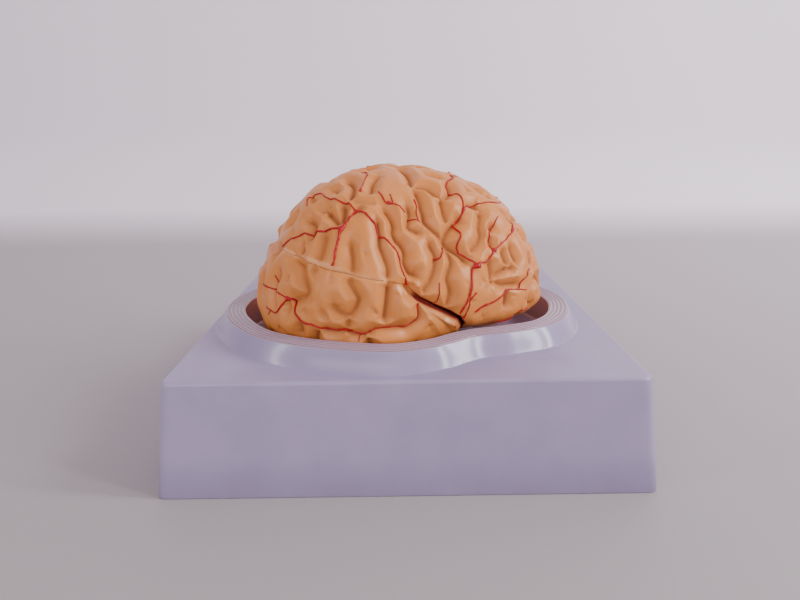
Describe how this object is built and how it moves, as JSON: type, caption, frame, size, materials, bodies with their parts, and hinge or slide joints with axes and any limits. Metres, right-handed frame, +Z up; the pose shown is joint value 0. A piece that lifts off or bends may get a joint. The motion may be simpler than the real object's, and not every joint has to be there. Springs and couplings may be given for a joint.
{
  "type": "brain anatomy model",
  "caption": "Life-size human brain anatomy model in separable pieces with surface folds and painted arteries, lying in a brain-shaped cavity in a square base.",
  "frame": {"origin": "centre of the base's foot, on the surface it stands on", "axes": "+Z up, +X towards the front of the brain, so the right half faces -Y"},
  "size_m": [0.2356, 0.2356, 0.1447],
  "materials": {
    "base": "satin moulded plastic",
    "brain": "semi-gloss painted plastic",
    "stem": "semi-gloss painted plastic",
    "cerebellum": "semi-gloss painted plastic",
    "pin": "drawn steel"
  },
  "bodies": {
    "stand": {"base_shell": "base", "right_temporo_occipital": "brain", "left_temporo_occipital": "brain", "right_brainstem": "stem", "left_brainstem": "stem", "right_cerebellum": "cerebellum", "left_cerebellum": "cerebellum", "right_lobe_pin": "pin", "left_lobe_pin": "pin", "right_cerebellum_pin": "pin", "left_cerebellum_pin": "pin", "occipital_middle_pin": "pin", "brainstem_middle_pin": "pin"},
    "right_upper": {"right_frontoparietal": "brain"},
    "left_upper": {"left_frontoparietal": "brain"}
  },
  "joints": [
    {"name": "right_lift", "type": "slide", "parent": "stand", "child": "right_upper", "axis": [0.1794, 0, 0.9838], "range_m": [0, 0.04]},
    {"name": "left_lift", "type": "slide", "parent": "stand", "child": "left_upper", "axis": [0.1794, 0, 0.9838], "range_m": [0, 0.04]}
  ]
}
